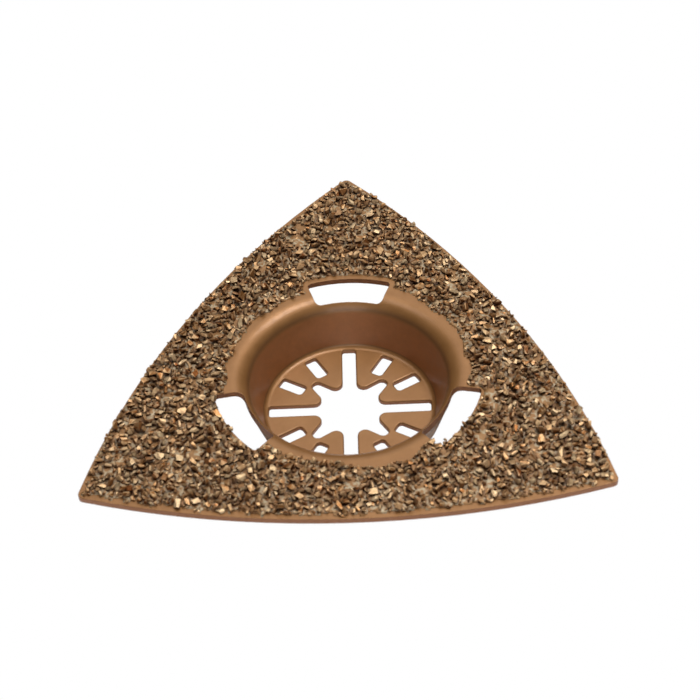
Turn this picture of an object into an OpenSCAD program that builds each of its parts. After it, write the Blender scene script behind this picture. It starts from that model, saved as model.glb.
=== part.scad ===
// Triangular carbide-grit rasp plate for an oscillating multi-tool.
// The origin is on the arbor axis in the clamp face, the underside of the cup floor.
// +Z points out of the grit face and +Y points at one corner of the triangle.

/* [Plate] */
// Straight distance between two corners, before they are rounded
edge = 80; // [79:0.5:82]
// How far each side bulges past the straight line between its corners
side_bulge = 5.7; // [5:0.1:6.5]
// Radius of each corner in plan
corner_r = 0.9; // [0.5:0.1:2]
// Thickness of the pressed sheet
sheet = 1; // [0.8:0.1:1.2]
// How far the arbor axis lies from the outline's centre, along X
axis_x = 0.15; // [-0.5:0.05:0.5]
// How far the arbor axis lies from the outline's centre, towards the +Y corner
axis_y = 0.6; // [-1:0.05:1]

/* [Cup] */
// Depth from the grit side of the plate down to the inside of the cup floor
cup_depth = 8.1; // [7.5:0.1:8.5]
// Thickness of the cup floor, which drawing has thinned
floor_t = 0.8; // [0.7:0.1:1]
// Thickness of the cup wall, which drawing has thinned
wall_t = 0.95; // [0.8:0.05:1]
// Inside radius of the cup where its wall would meet the floor
foot_r = 13.45; // [13.3:0.05:13.6]
// Inside radius of the cup where its wall would meet the grit side of the plate
mouth_r = 16; // [15.8:0.05:16.2]
// Roll radius where the plate turns down into the cup, on the grit side
mouth_roll = 3.2; // [2.8:0.1:3.4]
// Inside radius between the cup wall and the cup floor
floor_fillet = 1; // [0.7:0.1:1.2]

/* [Mouth slots] */
// Radius of the inner edge of each mouth slot
mouth_slot_inner = 16.4; // [16.2:0.1:17]
// Radius of the outer edge of each mouth slot
mouth_slot_outer = 21; // [20.5:0.1:22]
// Half of the angle that the inner edge spans
mouth_slot_inner_half = 18.5; // [16:0.5:19]
// Half of the angle that the outer edge spans
mouth_slot_outer_half = 18.8; // [16:0.1:19.5]
// Turn of the three slots against the outline, in degrees
mouth_slot_turn = -0.5; // [-2:0.1:2]

/* [Arbor pattern] */
// Turn of the punched pattern against the outline, in degrees
pattern_turn = 0.8; // [-2:0.1:2]
// Width of the four long slots
long_slot_w = 2.15; // [2:0.05:2.3]
// Distance from the axis to the end of a long slot
long_slot_end = 12.8; // [12.4:0.1:13]
// Distance from the axis to the centre of a lobe's round tip
lobe_centre = 7.2; // [7:0.05:7.4]
// Radius of a lobe's round tip
lobe_r = 0.85; // [0.8:0.05:0.95]
// How far each flank of a lobe leans in from the lobe's own centre line, in degrees
lobe_lean = 11.7; // [10:0.1:13]
// Radius of the land noses that locate the arbor
nose_r = 1.2; // [1:0.05:1.3]
// Width of the eight short slots
short_slot_w = 1.95; // [1.8:0.05:2.1]
// Distance from the axis to the inner end of a short slot
short_slot_start = 8.4; // [8.2:0.1:8.8]
// Distance from the axis to the outer end of a short slot
short_slot_end = 12.6; // [12.2:0.1:12.8]

/* [Grit] */
// Thickness of the braze that bonds the grains
braze = 0.3; // [0.2:0.05:0.4]
// Bare margin between the braze and the plate's outline
braze_margin = 0.5; // [0.3:0.1:1.2]
// Bare margin between the braze and the mouth slots
slot_margin = 0.3; // [0.2:0.05:0.4]
// Radius inside which the plate is bare
bare_r = 18.9; // [18.8:0.1:20]
// Distance between neighbouring grains
grain_pitch = 1.26; // [1.26:0.02:1.8]
// Tallest grain
grain_h = 1.15; // [0.8:0.05:1.4]
// Seed for the spread of the grains
grain_seed = 41; // [1:1:99]

/* [Hidden] */

// Corner radii of the slots
MOUTH_SLOT_OUTER_CORNER = 0.6;
MOUTH_SLOT_INNER_CORNER = 1;
LONG_SLOT_CORNER = 0.4;
SHORT_SLOT_OUTER_CORNER = 0.35;
SHORT_SLOT_INNER_CORNER = 0.55;

CORNERS = [90, 210, 330];
plate_top = cup_depth + floor_t;
corner_radius_pos = edge / sqrt(3);
side_mid = corner_radius_pos / 2 + side_bulge;
side_r = (edge * edge / 4 + side_bulge * side_bulge) / (2 * side_bulge);
side_centre = side_r - side_mid;
wall_lean = atan((mouth_r - foot_r) / cup_depth);
wall_across = wall_t / cos(wall_lean);
flat_from_r = mouth_r + mouth_roll * tan(45 - wall_lean / 2);
outline_centre = [-axis_x, -axis_y];
grain_reach = 0.44 * grain_pitch;
grain_wander = 0.04 * grain_pitch;

function polar(r, a) = [r * cos(a), r * sin(a)];
function turned(p, a) = [p.x * cos(a) - p.y * sin(a), p.x * sin(a) + p.y * cos(a)];
function arc(c, r, a0, a1, n) = [for (i = [0:n]) c + polar(r, a0 + (a1 - a0) * i / n)];

// One corner of an outline as an arc of radius r, tangent to the lines to its neighbours.
function blend(before, corner, after, r, n) =
    let (u = (before - corner) / norm(before - corner),
         v = (after - corner) / norm(after - corner),
         half = acos(u * v) / 2,
         mid = (u + v) / norm(u + v),
         centre = corner + mid * r / sin(half),
         side = sign(u.x * v.y - u.y * v.x),
         start = atan2(mid.y, mid.x) + 180 + side * (90 - half),
         turn = -side * (180 - 2 * half))
    arc(centre, r, start, start + turn, n);

// An outline given as [point, corner radius] pairs; a radius of 0 leaves the corner sharp.
function rounded(c, n = 6) =
    [for (i = [0:len(c) - 1])
        let (before = c[(i + len(c) - 1) % len(c)][0], after = c[(i + 1) % len(c)][0])
        each (c[i][1] > 0 ? blend(before, c[i][0], after, c[i][1], n) : [c[i][0]])];

// Centre of a corner's arc, on the corner's own line, where both side arcs pass at distance r.
function corner_centre(inset, r) =
    let (reach = side_r - inset - r, across = side_centre * sin(60))
    sqrt(reach * reach - across * across) - side_centre * cos(60);

// The three-sided outline, moved inwards by inset.
function outline(inset) =
    let (r = max(corner_r - inset, 0.2), tip = corner_centre(inset, r))
    [for (a = CORNERS)
        let (c = outline_centre + polar(tip, a),
             from = outline_centre - polar(side_centre, a - 60),
             to = outline_centre - polar(side_centre, a + 60),
             start = atan2(c.y - from.y, c.x - from.x), end = atan2(c.y - to.y, c.x - to.x),
             sweep = (end - start + 360) % 360,
             next = outline_centre + polar(tip, a + 120),
             side_end = atan2(next.y - to.y, next.x - to.x),
             side_sweep = (side_end - end + 360) % 360)
        each concat(arc(c, r, start, start + sweep, 8),
                    [for (i = [1:19]) to + polar(side_r - inset, end + side_sweep * i / 20)])];

// A mouth slot about angle a, grown by grow on every edge.
function mouth_slot(a, grow) =
    let (mid = a + mouth_slot_turn, ri = mouth_slot_inner - grow, ro = mouth_slot_outer + grow,
         wider = grow * 360 / PI / (mouth_slot_inner + mouth_slot_outer),
         hi = mouth_slot_inner_half + wider, ho = mouth_slot_outer_half + wider, n = 8)
    rounded(concat([for (i = [0:n]) [polar(ro, mid - ho + 2 * ho * i / n),
                                     i % n == 0 ? MOUTH_SLOT_OUTER_CORNER : 0]],
                   [for (i = [0:n]) [polar(ri, mid + hi - 2 * hi * i / n),
                                     i % n == 0 ? MOUTH_SLOT_INNER_CORNER : 0]]));

// A quarter of the centre opening: one long slot, and the lobe after it.
function star_quarter(a) =
    let (w = long_slot_w / 2,
         tip = (lobe_centre + lobe_r / sin(lobe_lean)) * [1, 1] / sqrt(2),
         nose = [tip.x - (tip.y - w) / tan(45 + lobe_lean), w])
    [for (c = [[[long_slot_end, -w], LONG_SLOT_CORNER], [[long_slot_end, w], LONG_SLOT_CORNER],
               [nose, nose_r], [tip, lobe_r], [[nose.y, nose.x], nose_r]])
        [turned(c[0], a), c[1]]];

function short_slot(a) =
    let (w = short_slot_w / 2)
    rounded([for (c = [[[short_slot_start, -w], SHORT_SLOT_INNER_CORNER],
                       [[short_slot_end, -w], SHORT_SLOT_OUTER_CORNER],
                       [[short_slot_end, w], SHORT_SLOT_OUTER_CORNER],
                       [[short_slot_start, w], SHORT_SLOT_INNER_CORNER]])
                [turned(c[0], a), c[1]]]);

// Half section of a cup from the axis out, with its wall from foot to mouth.
function cup_section(foot, mouth, fillet, roll, close_z) =
    let (out = [flat_from_r + 1, mouth.y])
    concat([[0, foot.y]], blend([0, foot.y], foot, mouth, fillet, 6),
           blend(foot, mouth, out, roll, 10), [[flat_from_r, close_z], [0, close_z]]);

cup_inside = cup_section([foot_r, floor_t], [mouth_r, plate_top],
                         floor_fillet, mouth_roll, plate_top + 1);

cup_outside = cup_section([foot_r - floor_t * tan(wall_lean) + wall_across, 0],
                          [mouth_r - sheet * tan(wall_lean) + wall_across, plate_top - sheet],
                          floor_fillet + wall_t, mouth_roll - sheet, plate_top - sheet / 2);

module backing_plate() {
    color("peru") difference() {
        union() {
            translate([0, 0, plate_top - sheet]) linear_extrude(sheet) polygon(outline(0));
            rotate_extrude($fn = 96) polygon(cup_outside);
        }
        rotate_extrude($fn = 96) polygon(cup_inside);
        arbor_pattern();
        mouth_slots(0);
    }
}

module arbor_pattern() {
    rotate(pattern_turn) translate([0, 0, -1]) linear_extrude(floor_t + 2) {
        polygon(rounded([for (a = [0:90:270]) each star_quarter(a)]));
        for (a = [30:30:330]) if (a % 90 != 0) polygon(short_slot(a));
    }
}

module mouth_slots(grow) {
    for (a = CORNERS)
        translate([0, 0, plate_top - mouth_roll]) linear_extrude(mouth_roll + 2)
            polygon(mouth_slot(a, grow));
}

module braze_layer() {
    color("sienna") difference() {
        translate([0, 0, plate_top]) linear_extrude(braze) polygon(outline(braze_margin));
        translate([0, 0, plate_top - 1]) cylinder(r = bare_r, h = braze + 2, $fn = 96);
        mouth_slots(slot_margin);
    }
}

// Whether a grain at p stands wholly on the braze.
function on_braze(p) =
    let (out = [for (a = CORNERS) norm(p - outline_centre - polar(side_centre, a))])
    max(out) < side_r - braze_margin - grain_reach
    && norm(p) > bare_r + grain_reach
    && !near_mouth_slot(p);

function near_mouth_slot(p) =
    let (gap = slot_margin + grain_reach,
         spread = mouth_slot_outer_half + gap * 180 / PI / mouth_slot_outer,
         off = [for (a = CORNERS) abs(angle_between(p, a + mouth_slot_turn))])
    norm(p) < mouth_slot_outer + gap && min(off) < spread;

function angle_between(p, a) = (atan2(p.y, p.x) - a + 540) % 360 - 180;

// A grain is a leaning roof: four feet on the braze and a ridge of two points.
function grain_points(p, r) =
    let (a = 180 * r[2], z0 = plate_top + braze, z1 = z0 + grain_h * (0.75 + 0.25 * r[3]))
    concat([for (i = [0:3]) each [concat(p + polar(grain_reach * (0.85 + 0.15 * r[4 + i]),
                                                  a + 90 * i + 14 * r[8 + i]), z0)]],
           [concat(p + polar(0.45 * grain_reach, a + 45 + 30 * r[0]), z1),
            concat(p - polar(0.45 * grain_reach, a + 45 + 30 * r[1]), z1 - 0.2 * grain_h)]);

GRAIN_FACES = [[0, 1, 2, 3], [0, 4, 1], [3, 4, 0], [1, 5, 2], [2, 5, 3], [1, 4, 5], [3, 5, 4]];

// The grains whose direction from the axis is within 30 degrees of a.
module grit(a) {
    n = ceil(corner_radius_pos / grain_pitch);
    grains = [for (i = [-n:n], j = [-n:n])
        let (r = rands(-1, 1, 12, grain_seed * 1000 + (i + n) * 200 + j + n),
             p = grain_pitch * [i + (abs(j) % 2) / 2, j * sqrt(3) / 2]
                 + grain_wander * [r[0], r[1]])
        if (on_braze(p) && abs(angle_between(p, a)) <= 30) grain_points(p, r)];
    polyhedron([for (g = grains) each g],
               [for (k = [0:len(grains) - 1], f = GRAIN_FACES) [for (v = f) v + 6 * k]]);
}

module grit_rear_corner() { color("saddlebrown") grit(90); }
module grit_left_corner() { color("saddlebrown") grit(210); }
module grit_right_corner() { color("saddlebrown") grit(330); }
module grit_front_side() { color("saddlebrown") grit(270); }
module grit_left_side() { color("saddlebrown") grit(150); }
module grit_right_side() { color("saddlebrown") grit(30); }

backing_plate();
braze_layer();
grit_rear_corner();
grit_left_corner();
grit_right_corner();
grit_front_side();
grit_left_side();
grit_right_side();
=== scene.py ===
"""Looks of the triangular grit rasp plate: the pressed plate, its braze and its crushed grains."""

import math

import bmesh
import bpy
import numpy as np
from mathutils import Matrix, Vector, noise
from mathutils.geometry import delaunay_2d_cdt


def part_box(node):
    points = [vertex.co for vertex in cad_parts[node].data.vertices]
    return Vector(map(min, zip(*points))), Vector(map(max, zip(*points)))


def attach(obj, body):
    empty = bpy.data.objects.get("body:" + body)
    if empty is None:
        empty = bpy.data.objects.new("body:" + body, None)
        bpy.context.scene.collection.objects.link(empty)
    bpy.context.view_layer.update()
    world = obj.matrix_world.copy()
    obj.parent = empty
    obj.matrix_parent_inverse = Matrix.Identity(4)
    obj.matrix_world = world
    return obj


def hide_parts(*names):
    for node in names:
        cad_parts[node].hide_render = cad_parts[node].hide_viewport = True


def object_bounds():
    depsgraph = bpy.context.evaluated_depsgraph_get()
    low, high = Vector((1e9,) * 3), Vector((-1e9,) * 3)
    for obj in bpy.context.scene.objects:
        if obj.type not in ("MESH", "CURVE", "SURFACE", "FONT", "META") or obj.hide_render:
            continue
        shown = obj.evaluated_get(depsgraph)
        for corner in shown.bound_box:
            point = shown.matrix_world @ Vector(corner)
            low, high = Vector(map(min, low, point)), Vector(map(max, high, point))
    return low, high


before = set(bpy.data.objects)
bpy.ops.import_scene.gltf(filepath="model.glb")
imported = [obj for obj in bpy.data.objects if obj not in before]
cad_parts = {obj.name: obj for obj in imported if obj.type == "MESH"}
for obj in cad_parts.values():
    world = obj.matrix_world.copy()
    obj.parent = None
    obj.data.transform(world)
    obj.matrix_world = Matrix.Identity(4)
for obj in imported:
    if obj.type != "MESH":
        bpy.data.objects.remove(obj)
CAD_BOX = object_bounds()

# Shapes are worked out in millimetres and stored in metres.
MM = 0.001
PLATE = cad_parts["backing_plate"]
PLATE_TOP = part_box("backing_plate")[1].z / MM
BRAZE_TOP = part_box("braze_layer")[1].z / MM
GRIT_NODES = {
    "grit_right_side": 30, "grit_rear_corner": 90, "grit_left_side": 150,
    "grit_left_corner": 210, "grit_front_side": 270, "grit_right_corner": 330,
}

# Edge rounding: the cuts in the cup's floor roll over at the top and every other edge is nearly sharp.
ROLLED, SHARP = 0.28, 0.08
# How far in from the edge a quarter round has turned 0, 30, 60 and 90 degrees, as shares of its radius.
ROUND_SHARES = (0, 0.134, 0.5, 1)
RING_STEPS = 144

# Bare strips round the grit field.
FRONT_MARGIN = 0.7        # along the front side
REAR_MARGIN = 0.1         # along the other two sides
APEX_MARGIN = 0.35        # added at the rear corner
LIP_MARGIN = 0.5          # round the cup
REAR_SLOT_MARGIN = 0.75   # round the rear mouth slot
SIDE_SLOT_MARGIN = 0.3    # round one half of each side slot; grains overhang the other half as far

# The grains: largest radius, smallest radius and number of tries for each round of sowing.
GRAIN_SIZES = ((1.0, 0.72, 4000), (0.72, 0.5, 22000), (0.5, 0.28, 60000))
PACKING = 0.55            # how close two grains' centres come, as a share of their radii
CHIP_SHAPES = 80
LEAN = 32                 # spread of the grains' tilt, in degrees
SEED = 20

# The braze skin.
BRAZE_STEP = 0.4          # spacing of its grid
BRAZE_SUNK = 0.02         # how far its underside lies in the plate

# The stage, in metres.
FLOOR_HALF = 3.0
FLOOR_GAP = 0.00005


# ---------------------------------------------------------------- the plate's shape, read from the CAD node

def welded_plate():
    """The CAD plate with shared vertices, in millimetres."""
    bm = bmesh.new()
    bm.from_mesh(PLATE.data)
    bmesh.ops.scale(bm, vec=(1 / MM, 1 / MM, 1 / MM), verts=bm.verts)
    bmesh.ops.remove_doubles(bm, verts=bm.verts, dist=0.002)
    bm.normal_update()
    return bm


def cut_loops(bm):
    """The closed upper edges of the plate's vertical cut walls as 2-D loops, material on their left."""
    after = {}
    for edge in bm.edges:
        wall, top = sorted(edge.link_faces, key=lambda face: face.normal.z)
        if abs(wall.normal.z) < 0.05 and top.normal.z > 0.2:
            corner = next(c for c in top.loops if c.edge == edge)
            after[corner.vert] = corner.link_loop_next.vert
    loops = []
    while after:
        vert = next(iter(after))
        loop = []
        while vert in after:
            if not loop or (vert.co.xy - loop[-1]).length > 0.03:
                loop.append(vert.co.xy)
            vert = after.pop(vert)
        loops.append(np.array(loop))
    return loops


class Skin:
    """One side of the plate as a surface of revolution: height and slope against radius."""

    def __init__(self, bm, side):
        rings = {}
        for vert in bm.verts:
            if all(side * face.normal.z > 0.2 for face in vert.link_faces):
                rings[round(vert.co.xy.length, 2)] = vert.co.z
        self.side = side
        self.radii = np.array(sorted(rings))
        self.heights = np.array([rings[r] for r in self.radii])
        run, rise = np.diff(self.radii), np.diff(self.heights)
        angle = np.concatenate([[0], np.arctan2(rise, run), [0]])
        length = np.concatenate([[9], np.hypot(run, rise), [9]])
        self.slopes = (angle[:-1] * length[:-1] + angle[1:] * length[1:]) / (length[:-1] + length[1:])

    def height(self, points):
        return np.interp(np.linalg.norm(points, axis=1), self.radii, self.heights)

    def normal(self, points):
        radius = np.linalg.norm(points, axis=1)
        slope = np.interp(radius, self.radii, self.slopes)
        flat = -np.sin(slope)[:, None] * points / np.maximum(radius, 1e-6)[:, None]
        return self.side * np.column_stack([flat, np.cos(slope)])


def segments(loops):
    """All edges of the loops as an array of start and end points."""
    return np.concatenate([np.stack([loop, np.roll(loop, -1, 0)], 1) for loop in loops])


def distance(points, edges):
    """Distance from each 2-D point to each edge, as a table with a row for each point."""
    start, along = edges[:, 0], edges[:, 1] - edges[:, 0]
    rel = points[:, None] - start
    share = np.clip((rel * along).sum(2) / (along * along).sum(1), 0, 1)
    return np.linalg.norm(rel - share[..., None] * along, axis=2)


def nearest(points, edges):
    """Distance from each 2-D point to the nearest edge, a block of points at a time."""
    blocks = [distance(points[i:i + 1000], edges).min(1) for i in range(0, len(points), 1000)]
    return np.concatenate(blocks)


def inside(points, edges):
    """Whether each 2-D point lies in the material, by counting the edges crossed to its right."""
    (x0, y0), (x1, y1) = edges[:, 0].T, edges[:, 1].T
    hits = np.zeros(len(points), int)
    for a0, b0, a1, b1 in zip(x0, y0, x1, y1):
        spans = (b0 > points[:, 1]) != (b1 > points[:, 1])
        with np.errstate(divide="ignore", invalid="ignore"):
            cross = a0 + (points[:, 1] - b0) * (a1 - a0) / (b1 - b0)
        hits += spans & (points[:, 0] < cross)
    return hits % 2 == 1


SHAPE = welded_plate()
LOOPS = cut_loops(SHAPE)
EDGES = segments(LOOPS)
TOP_SKIN, LOWER_SKIN = Skin(SHAPE, 1), Skin(SHAPE, -1)
REACH = [np.linalg.norm(loop, axis=1).max() for loop in LOOPS]
# The plate is flat outside FLAT_FROM, and every cut in the cup's floor ends inside FLOOR_TO.
FLAT_FROM = TOP_SKIN.radii[-1]
FLOOR_TO = max(reach for reach in REACH if reach < FLAT_FROM) + 0.5
OUTLINE = LOOPS[int(np.argmax(REACH))]
MOUTH_SLOTS = [loop for loop, reach in zip(LOOPS, REACH) if FLAT_FROM < reach < max(REACH)]


# ---------------------------------------------------------------- backing plate

def inset(loop, depth):
    """The loop moved into the material."""
    along = np.roll(loop, -1, 0) - loop
    along /= np.linalg.norm(along, axis=1)[:, None]
    left = np.column_stack([-along[:, 1], along[:, 0]])
    before = np.roll(left, 1, 0)
    share = 1 + (left * before).sum(1)
    return loop + depth * (left + before) / np.maximum(share, 0.5)[:, None]


def plan_triangles():
    """The plate in plan as triangles that follow its cut edges, their rounding and the cup's rings."""
    rings = [inset(loop, s * r) if s else loop for loop in LOOPS
             for r in (ROLLED, SHARP) for s in ROUND_SHARES if s or r == ROLLED]
    turns = np.arange(RING_STEPS) * 2 * math.pi / RING_STEPS
    circle = np.column_stack([np.cos(turns), np.sin(turns)])
    rings += [circle * r for r in sorted({*TOP_SKIN.radii, *LOWER_SKIN.radii})]
    edges, count = [], 0
    for ring in rings:
        n = len(ring)
        edges += [(count + i, count + (i + 1) % n) for i in range(n)]
        count += n
    verts, _, faces, *_ = delaunay_2d_cdt([Vector(p) for p in np.concatenate(rings)], edges, [], 0, 1e-4)
    points, faces = np.array([v[:] for v in verts]), np.array(faces)
    faces = faces[inside(points[faces].mean(1), EDGES)]
    used, faces = np.unique(faces, return_inverse=True)
    return points[used], faces.reshape(-1, 3)


def outward(points):
    """The direction out of the material at the nearest cut edge, averaged where edges meet."""
    along = EDGES[:, 1] - EDGES[:, 0]
    right = np.column_stack([along[:, 1], -along[:, 0]]) / np.linalg.norm(along, axis=1)[:, None]
    out = np.zeros((len(points), 2))
    for i in range(0, len(points), 1000):
        far = distance(points[i:i + 1000], EDGES)
        out[i:i + 1000] = (far < far.min(1)[:, None] + 0.004) @ right
    return out / np.maximum(np.linalg.norm(out, axis=1), 1e-6)[:, None]


def skin_shape(skin, points, depth, out, radius):
    """Heights and normals of one side of the plate, rounded over near its cut edges."""
    lean = np.clip(1 - depth / radius, 0, 1)
    rise = np.sqrt(1 - lean ** 2)
    heights = skin.height(points) - skin.side * radius * (1 - rise)
    normals = rise[:, None] * skin.normal(points)
    normals[:, :2] += lean[:, None] * out
    return heights, normals / np.linalg.norm(normals, axis=1)[:, None]


def build_plate(material):
    """The pressed plate as one closed skin with rounded punched edges."""
    points, faces = plan_triangles()
    depth = nearest(points, EDGES)
    depth[depth < 1e-3] = 0
    out = outward(points)
    in_floor = np.linalg.norm(points, axis=1) < FLOOR_TO
    top, top_normals = skin_shape(TOP_SKIN, points, depth, out, np.where(in_floor, ROLLED, SHARP))
    low, low_normals = skin_shape(LOWER_SKIN, points, depth, out, SHARP)
    directed = faces[:, [0, 1, 1, 2, 2, 0]].reshape(-1, 2)
    _, first, uses = np.unique(np.sort(directed, 1), axis=0, return_index=True, return_counts=True)
    rim, n = directed[first[uses == 1]], len(points)
    walls = np.column_stack([rim[:, 1], rim[:, 0], rim[:, 0] + n, rim[:, 1] + n])
    verts = np.vstack([np.column_stack([points, top]), np.column_stack([points, low])]) * MM
    mesh = bpy.data.meshes.new("pressed_plate")
    mesh.from_pydata(verts.tolist(), [], faces.tolist() + (faces[:, ::-1] + n).tolist() + walls.tolist())
    mesh.polygons.foreach_set("use_smooth", [True] * len(mesh.polygons))
    mesh.normals_split_custom_set_from_vertices(np.vstack([top_normals, low_normals]).tolist())
    add_piece("pressed_plate", mesh, material, "backing_plate")


# ---------------------------------------------------------------- grit field

def wave(points, scale, seed):
    """Smooth noise from -1 to 1 over 2-D points, with bumps about scale millimetres wide."""
    return np.array([noise.noise(Vector((x / scale, y / scale, seed * 7.3))) for x, y in points])


def field_depth(points):
    """How far each point lies inside the grit field; negative is outside it."""
    angle = np.degrees(np.arctan2(points[:, 1], points[:, 0])) % 360
    ragged = wave(points, 2.5, 1) * 0.9 + wave(points, 1.1, 8) * 0.3
    front = np.abs(angle - 270) < 63
    apex = APEX_MARGIN * np.exp(-((angle - 90) / 20) ** 2)
    other = np.maximum(REAR_MARGIN + apex + 0.5 * wave(points, 6, 4), 0)
    margin = np.where(front, FRONT_MARGIN + 0.9 * wave(points, 1.4, 7), other)
    sides = nearest(points, segments([OUTLINE])) - margin
    past_middle = (angle - 30) % 120 > 63
    side_slot = np.where(past_middle, SIDE_SLOT_MARGIN, -SIDE_SLOT_MARGIN)
    slot_margin = np.where(np.abs(angle - 90) < 40, REAR_SLOT_MARGIN, side_slot)
    slots = nearest(points, segments(MOUTH_SLOTS)) - slot_margin
    # The strip round the cup is widest to the right of the front and to the right of the rear slot.
    bare = LIP_MARGIN + 1.3 * np.exp(-((angle - 292) / 13) ** 2) + 1.2 * np.exp(-((angle - 64) / 9) ** 2)
    cup = np.linalg.norm(points, axis=1) - FLAT_FROM - bare + ragged
    depth = np.minimum(np.minimum(sides, slots), cup)
    return np.where(inside(points, EDGES), depth, -1)


def sown(points):
    """Whether grains were sown at each point; they leave bare patches, most of them beside the cup."""
    angle = np.degrees(np.arctan2(points[:, 1], points[:, 0])) % 360
    beside = np.exp(-((angle - 30) / 22) ** 2) + np.exp(-((angle - 150) / 22) ** 2)
    return wave(points, 1.9, 5) + 0.4 * wave(points, 1.0, 6) > 0.18 * beside - 0.48


def chip(rng):
    """One crushed grain, a flat block cut by random planes: vertices within 1 of its centre, triangles."""
    bm = bmesh.new()
    bmesh.ops.create_cube(bm, size=2)
    for _ in range(rng.integers(6, 10)):
        normal = Vector(rng.normal(size=3)).normalized()
        geometry = bm.verts[:] + bm.edges[:] + bm.faces[:]
        bmesh.ops.bisect_plane(bm, geom=geometry, plane_co=normal * rng.uniform(0.45, 0.9),
                               plane_no=normal, clear_outer=True)
        bmesh.ops.holes_fill(bm, edges=[e for e in bm.edges if e.is_boundary])
    bmesh.ops.remove_doubles(bm, verts=bm.verts, dist=0.05)
    bmesh.ops.triangulate(bm, faces=bm.faces)
    bmesh.ops.recalc_face_normals(bm, faces=bm.faces)
    points = np.array([v.co for v in bm.verts])
    faces = np.array([[v.index for v in f.verts] for f in bm.faces])
    bm.free()
    points *= [1, rng.uniform(0.4, 0.9), rng.uniform(0.35, 0.8)]
    return points / np.linalg.norm(points, axis=1).max(), faces


def lie(rng):
    """A random rotation that mostly leaves a grain lying flat."""
    tilt = abs(rng.normal(0, math.radians(LEAN)))
    heading = rng.uniform(0, 2 * math.pi)
    axis = Vector((math.cos(heading), math.sin(heading), 0))
    return np.array(Matrix.Rotation(tilt, 3, axis) @ Matrix.Rotation(rng.uniform(0, 2 * math.pi), 3, "Z"))


def scatter(rng):
    """Centres and radii of the grains, large ones first, none closer than the packing."""
    low, high = OUTLINE.min(0), OUTLINE.max(0)
    cells, placed = {}, []
    for largest, smallest, tries in GRAIN_SIZES:
        points = rng.uniform(low, high, (tries, 2))
        radii = rng.uniform(smallest, largest, tries)
        room = (field_depth(points) > 0.85 * radii - 0.15) & sown(points)
        for (x, y), r in zip(points[room], radii[room]):
            i, j = int(x // 2), int(y // 2)
            near = [g for a in (-1, 0, 1) for b in (-1, 0, 1) for g in cells.get((i + a, j + b), ())]
            if all(math.hypot(x - g[0], y - g[1]) > PACKING * (r + g[2]) for g in near):
                cells.setdefault((i, j), []).append((x, y, r))
                placed.append((x, y, r))
    return placed


def grain_mesh(name, grains, chips, rng):
    """One mesh of many separate grains, each with its own tone and a random value for each facet's painted
    highlight and shade.
    """
    points, faces, grain_tones, facet_painted_lights, count = [], [], [], [], 0
    for x, y, r in grains:
        shape, triangles = chips[rng.integers(len(chips))]
        body = shape * r @ lie(rng).T
        base = PLATE_TOP + rng.uniform(0, 0.3) * min(1, r)
        body += [x, y, base - body[:, 2].min()]
        points.append(body)
        faces.append(triangles + count)
        count += len(body)
        grain_tones.append(np.full(len(triangles), rng.random()))
        # A random value for each facet, used for its painted highlight and shade.
        facet_painted_lights.append(rng.random(len(triangles)))
    mesh = bpy.data.meshes.new(name)
    mesh.from_pydata((np.vstack(points) * MM).tolist(), [], np.vstack(faces).tolist())
    for label, values in (("grain_tone", grain_tones), ("facet_painted_light", facet_painted_lights)):
        mesh.attributes.new(label, "FLOAT", "FACE").data.foreach_set("value", np.concatenate(values))
    return mesh


def build_grit(material):
    """The grit, one piece for each CAD grit node, parted at the same directions from the axis."""
    rng = np.random.default_rng(SEED)
    chips = [chip(rng) for _ in range(CHIP_SHAPES)]
    grains = scatter(rng)
    angles = np.degrees(np.arctan2([g[1] for g in grains], [g[0] for g in grains])) % 360
    for node, middle in GRIT_NODES.items():
        mine = [g for g, a in zip(grains, angles) if abs((a - middle + 180) % 360 - 180) <= 30]
        mesh = grain_mesh(node + "_grains", mine, chips, rng)
        add_piece(node + "_grains", mesh, material, node)


def add_piece(name, mesh, material, node):
    """Links a mesh as a piece on the root body, in place of a CAD node."""
    piece = bpy.data.objects.new(name, mesh)
    bpy.context.scene.collection.objects.link(piece)
    mesh.materials.append(material)
    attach(piece, "root")
    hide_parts(node)


# ---------------------------------------------------------------- braze

def build_braze(material):
    """The braze: a lumpy closed skin over the grit field, thinning to nothing at its border."""
    low, high = OUTLINE.min(0) - BRAZE_STEP, OUTLINE.max(0) + BRAZE_STEP
    xs, ys = np.arange(low[0], high[0], BRAZE_STEP), np.arange(low[1], high[1], BRAZE_STEP)
    grid = np.stack(np.meshgrid(xs, ys, indexing="ij"), -1).reshape(-1, 2)
    depth = field_depth(grid) + 0.1
    index = np.arange(len(grid)).reshape(len(xs), len(ys))
    quads = np.stack([index[:-1, :-1], index[1:, :-1], index[1:, 1:], index[:-1, 1:]], -1).reshape(-1, 4)
    quads = quads[(depth[quads] > 0).all(1)]
    used, quads = np.unique(quads, return_inverse=True)
    quads = quads.reshape(-1, 4)
    flat, depth = grid[used], depth[used]
    lumps = 0.6 + 0.45 * wave(flat, 0.9, 2) + 0.25 * wave(flat, 0.45, 3)
    rise = (BRAZE_TOP - PLATE_TOP) * np.clip(depth / 0.8, 0.05, 1) * np.clip(lumps, 0.15, 1.2)
    top = np.column_stack([flat, PLATE_TOP + rise])
    bottom = np.column_stack([flat, np.full(len(flat), PLATE_TOP - BRAZE_SUNK)])
    directed = np.stack([quads, np.roll(quads, -1, 1)], -1).reshape(-1, 2)
    _, first, uses = np.unique(np.sort(directed, 1), axis=0, return_index=True, return_counts=True)
    rim, n = directed[first[uses == 1]], len(flat)
    skirt = np.column_stack([rim[:, 1], rim[:, 0], rim[:, 0] + n, rim[:, 1] + n])
    faces = np.vstack([quads, quads[:, ::-1] + n, skirt])
    mesh = bpy.data.meshes.new("braze_skin")
    mesh.from_pydata((np.vstack([top, bottom]) * MM).tolist(), [], faces.tolist())
    mesh.polygons.foreach_set("use_smooth", [True] * len(quads) + [False] * (len(faces) - len(quads)))
    add_piece("braze_skin", mesh, material, "braze_layer")


# ---------------------------------------------------------------- materials

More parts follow.
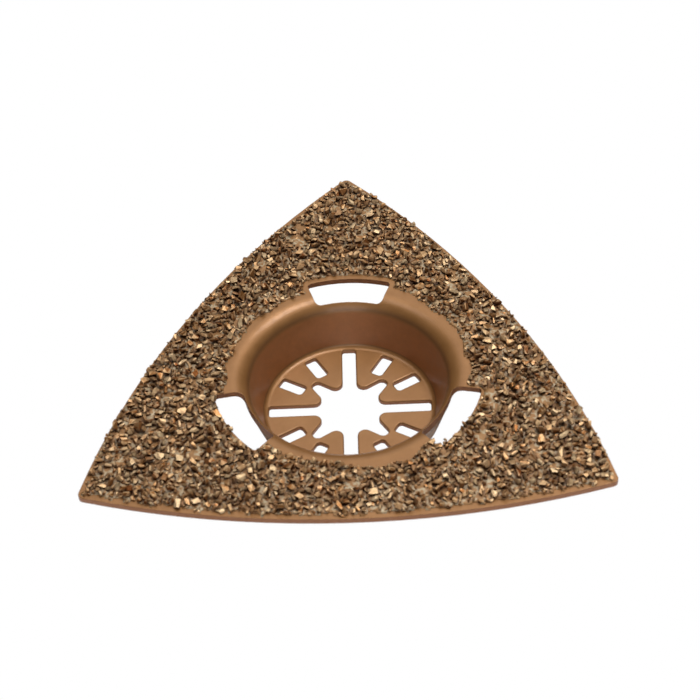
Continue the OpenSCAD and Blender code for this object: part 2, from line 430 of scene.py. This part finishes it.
class Nodes:
    """A short way to write node trees."""

    def __init__(self, name):
        self.material = bpy.data.materials.new(name)
        self.material.use_nodes = True
        self.tree = self.material.node_tree
        self.tree.nodes.clear()

    def plug(self, socket, value):
        """Links a socket, or sets a number or a colour."""
        if isinstance(value, bpy.types.NodeSocket):
            self.tree.links.new(value, socket)
        elif isinstance(value, tuple) and len(value) == 3 and socket.type == "RGBA":
            socket.default_value = (*value, 1)
        else:
            socket.default_value = value

    def add(self, kind, inputs=(), **settings):
        """Adds a node with its properties set and its inputs, given by name or number, plugged."""
        node = self.tree.nodes.new(kind)
        for key, value in settings.items():
            setattr(node, key, value)
        for key, value in dict(inputs).items():
            self.plug(node.inputs[key], value)
        return node

    def noise(self, scale, detail=3.0, roughness=0.5):
        """Noise over object coordinates in metres, with scale in bumps per metre."""
        place = self.add("ShaderNodeTexCoord").outputs["Object"]
        return self.add("ShaderNodeTexNoise", {"Vector": place, "Scale": scale, "Detail": detail,
                                               "Roughness": roughness}).outputs["Fac"]

    def ramp(self, value, *stops):
        """A colour ramp through (position, colour) stops."""
        node = self.add("ShaderNodeValToRGB", {"Fac": value})
        while len(node.color_ramp.elements) < len(stops):
            node.color_ramp.elements.new(0.5)
        for element, (position, colour) in zip(node.color_ramp.elements, stops):
            element.position = position
            element.color = (*colour, 1)
        return node.outputs["Color"]

    def spread(self, value, low, high):
        """Noise-like values from 0.3 to 0.7 spread over a range."""
        return self.add("ShaderNodeMapRange", {0: value, 1: 0.3, 2: 0.7, 3: low, 4: high}).outputs[0]

    def mix(self, share, a, b, mode="MIX"):
        """Two colours mixed."""
        return self.add("ShaderNodeMix", {0: share, 6: a, 7: b}, data_type="RGBA", blend_type=mode).outputs[2]

    def occlusion_shade(self, reach, darkest=0.0, open_at=1.0):
        """Ambient occlusion as a mask for painted shade: 1 in the open and 0 where surfaces crowd closer than
        reach.
        """
        shade = self.add("ShaderNodeAmbientOcclusion", {"Distance": reach}, samples=6).outputs["AO"]
        return self.add("ShaderNodeMapRange", {0: shade, 1: darkest, 2: open_at}).outputs[0]

    def near(self, value, middle, reach):
        """1 where a value is at its middle, falling to 0 at reach either side."""
        off = self.add("ShaderNodeMath", {0: value, 1: middle}, operation="SUBTRACT").outputs[0]
        size = self.add("ShaderNodeMath", {0: off}, operation="ABSOLUTE").outputs[0]
        return self.add("ShaderNodeMapRange", {0: size, 1: 0.0, 2: reach, 3: 1.0, 4: 0.0}).outputs[0]

    def tilt(self):
        """The upward part of the surface normal."""
        normal = self.add("ShaderNodeNewGeometry").outputs["Normal"]
        return self.add("ShaderNodeSeparateXYZ", {0: normal}).outputs["Z"]

    def bump(self, height, strength, depth):
        """A bump normal from a height, with its depth in metres."""
        return self.add("ShaderNodeBump", {"Height": height, "Strength": strength,
                                           "Distance": depth}).outputs["Normal"]

    def finish(self, **inputs):
        """A Principled surface as the output."""
        named = {key.replace("_", " "): value for key, value in inputs.items()}
        shader = self.add("ShaderNodeBsdfPrincipled", named)
        self.add("ShaderNodeOutputMaterial", {"Surface": shader.outputs["BSDF"]})
        return self.material


def lacquer():
    """Satin bronze lacquer with painted shading picked by facing: a redder tone on the cup's wall and painted
    shade on its shoulder and the cut faces.
    """
    n = Nodes("bronze_lacquer")
    tone = n.ramp(n.noise(260.0, 4.0, 0.6), (0.3, (0.240, 0.107, 0.029)), (0.7, (0.280, 0.130, 0.040)))
    # Painted shading: the cup's wall, picked by its upward facing, gets a redder tone than the rest of the
    # lacquer.
    wall = n.ramp(n.noise(900.0, 4.0, 0.7), (0.35, (0.265, 0.107, 0.036)), (0.65, (0.315, 0.121, 0.041)))
    tone = n.mix(n.near(n.tilt(), 0.3, 0.15), tone, wall)
    # Painted shade on the cup's shoulder, picked by its facing; it stands in for a dark reflection there.
    tone = n.mix(n.near(n.tilt(), 0.5, 0.2), tone, (0.17, 0.078, 0.027))
    # Painted shade on the upright cut faces, picked by their facing.
    colour = n.mix(n.near(n.tilt(), 0.0, 0.2), tone, (0.25, 0.098, 0.036))
    rough = n.spread(n.noise(900.0), 0.44, 0.54)
    peel = n.bump(n.noise(3200.0, 3.0, 0.6), 0.25, 0.00004)
    return n.finish(Base_Color=colour, Metallic=0.48, Roughness=rough, Normal=peel,
                    Coat_Weight=0.22, Coat_Roughness=0.22)


def braze_look():
    """Rough braze under the lacquer, with paler greyish runs between the grains and painted shade where it
    crowds against them.
    """
    n = Nodes("braze")
    tone = n.ramp(n.noise(300.0, 4.0, 0.6), (0.35, (0.24, 0.115, 0.035)), (0.65, (0.30, 0.156, 0.056)))
    runs = n.mix(n.near(n.noise(480.0, 3.0, 0.6), 0.5, 0.055), tone, (0.40, 0.335, 0.22))
    # Painted shade: the braze turns dark brown where ambient occlusion finds surfaces crowding close.
    colour = n.mix(n.occlusion_shade(0.0009, 0.2, 0.85), (0.08, 0.025, 0.007), runs)
    pits = n.bump(n.noise(2500.0, 4.0, 0.65), 0.4, 0.00006)
    rough = n.spread(n.noise(1500.0), 0.42, 0.6)
    return n.finish(Base_Color=colour, Metallic=0.3, Roughness=rough, Normal=pits)


def grit_look():
    """Crushed carbide under thin bronze lacquer: each grain has its own tone, each facet a painted highlight
    and shade of its own, and painted shade darkens the crevices.
    """
    n = Nodes("grit")
    grain = n.add("ShaderNodeAttribute", attribute_name="grain_tone").outputs["Fac"]
    # Each facet's random value, used for its painted highlight and shade and for its roughness.
    facet = n.add("ShaderNodeAttribute", attribute_name="facet_painted_light").outputs["Fac"]
    body = n.ramp(grain, (0.0, (0.24, 0.075, 0.018)), (0.5, (0.55, 0.265, 0.092)), (1.0, (0.88, 0.66, 0.40)))
    # Half the grain's own tone and half a painted facet light, ranging from shade to highlight.
    tinted = n.mix(0.5, body, n.ramp(facet, (0.2, (0.075, 0.018, 0.004)), (0.8, (0.88, 0.64, 0.37))))
    speck = n.ramp(n.noise(1800.0, 3.0, 0.7), (0.35, (0.6, 0.58, 0.55)), (0.65, (1.0, 1.0, 1.0)))
    worn = n.mix(1.0, tinted, speck, "MULTIPLY")
    # Painted shade: the grit turns near black-brown where ambient occlusion finds surfaces crowding close.
    colour = n.mix(n.occlusion_shade(0.0012, 0.4, 0.88), (0.040, 0.009, 0.002), worn)
    rough = n.add("ShaderNodeMapRange", {0: facet, 3: 0.32, 4: 0.55}).outputs[0]
    chipped = n.bump(n.noise(3000.0, 3.0, 0.6), 0.6, 0.00008)
    return n.finish(Base_Color=colour, Metallic=0.55, Specular_IOR_Level=0.2,
                    Specular_Tint=(1.0, 0.62, 0.38), Roughness=rough, Normal=chipped)


def floor_look():
    """A plain pale floor that the camera sees as white from above and sees through from below."""
    n = Nodes("pale_floor")
    paper = n.ramp(n.noise(30.0, 2.0), (0.4, (0.90, 0.90, 0.90)), (0.6, (0.93, 0.93, 0.93)))
    surface = n.add("ShaderNodeBsdfDiffuse", {"Color": paper}).outputs[0]
    glow = n.add("ShaderNodeEmission", {"Strength": 1.0}).outputs[0]
    seen = n.add("ShaderNodeLightPath").outputs["Is Camera Ray"]
    above = n.add("ShaderNodeMixShader", {0: seen, 1: surface, 2: glow}).outputs[0]
    below = n.add("ShaderNodeBsdfTransparent").outputs[0]
    side = n.add("ShaderNodeNewGeometry").outputs["Backfacing"]
    mixed = n.add("ShaderNodeMixShader", {0: side, 1: above, 2: below})
    n.add("ShaderNodeOutputMaterial", {"Surface": mixed.outputs[0]})
    return n.material


# ---------------------------------------------------------------- stage, light and camera

def add_floor():
    """A large pale floor a hair below the object's lowest face."""
    mesh = bpy.data.meshes.new("floor")
    z = CAD_BOX[0].z - FLOOR_GAP
    corners = [(x * FLOOR_HALF, y * FLOOR_HALF, z) for x, y in ((-1, -1), (1, -1), (1, 1), (-1, 1))]
    mesh.from_pydata(corners, [], [(0, 1, 2, 3)])
    mesh.materials.append(floor_look())
    floor = bpy.data.objects.new("floor", mesh)
    bpy.context.scene.collection.objects.link(floor)


def add_softbox(name, place, size, power):
    """A square area light aimed at the plate."""
    data = bpy.data.lights.new(name, "AREA")
    data.size, data.energy = size, power
    light = bpy.data.objects.new(name, data)
    light.location = place
    light.rotation_euler = (-Vector(place)).to_track_quat("-Z", "Y").to_euler()
    bpy.context.scene.collection.objects.link(light)


def add_lights():
    """A key overhead to the right, weaker boxes overhead to the left, behind and low in front."""
    add_softbox("key", (0.19, 0.11, 0.57), 0.26, 3.0)
    add_softbox("overhead_left", (-0.19, 0.11, 0.57), 0.26, 0.8)
    add_softbox("behind", (0.0, 0.45, 0.45), 0.5, 1.02)
    add_softbox("front_low", (0.0, -0.60, 0.25), 0.4, 1.68)
    world = bpy.data.worlds.new("studio")
    bpy.context.scene.world = world
    world.use_nodes = True
    world.node_tree.nodes["Background"].inputs["Color"].default_value = (1.0, 1.0, 1.0, 1)
    world.node_tree.nodes["Background"].inputs["Strength"].default_value = 0.02


def add_camera():
    """The camera looks at the plate from the front, rolled a little."""
    azimuth, elevation, roll = math.radians(2.272), math.radians(45.577), math.radians(-3.445)
    target, distance_back = Vector((0.35, 4.89, PLATE_TOP)) * MM, 0.33105
    back = Vector((math.sin(azimuth) * math.cos(elevation), -math.cos(azimuth) * math.cos(elevation),
                   math.sin(elevation)))
    data = bpy.data.cameras.new("camera")
    data.sensor_width, data.lens = 36.0, 108.83
    data.clip_start, data.clip_end = 0.01, 20.0
    data.dof.use_dof = True
    data.dof.focus_distance = 0.357
    data.dof.aperture_fstop = 60
    camera = bpy.data.objects.new("camera", data)
    facing = (-back).to_track_quat("-Z", "Y").to_matrix().to_4x4()
    place = Matrix.Translation(target + back * distance_back)
    camera.matrix_world = place @ facing @ Matrix.Rotation(roll, 4, "Z")
    bpy.context.scene.collection.objects.link(camera)
    bpy.context.scene.camera = camera


build_plate(lacquer())
build_braze(braze_look())
build_grit(grit_look())
add_floor()
add_lights()
add_camera()
bpy.context.scene.view_settings.view_transform = "Standard"
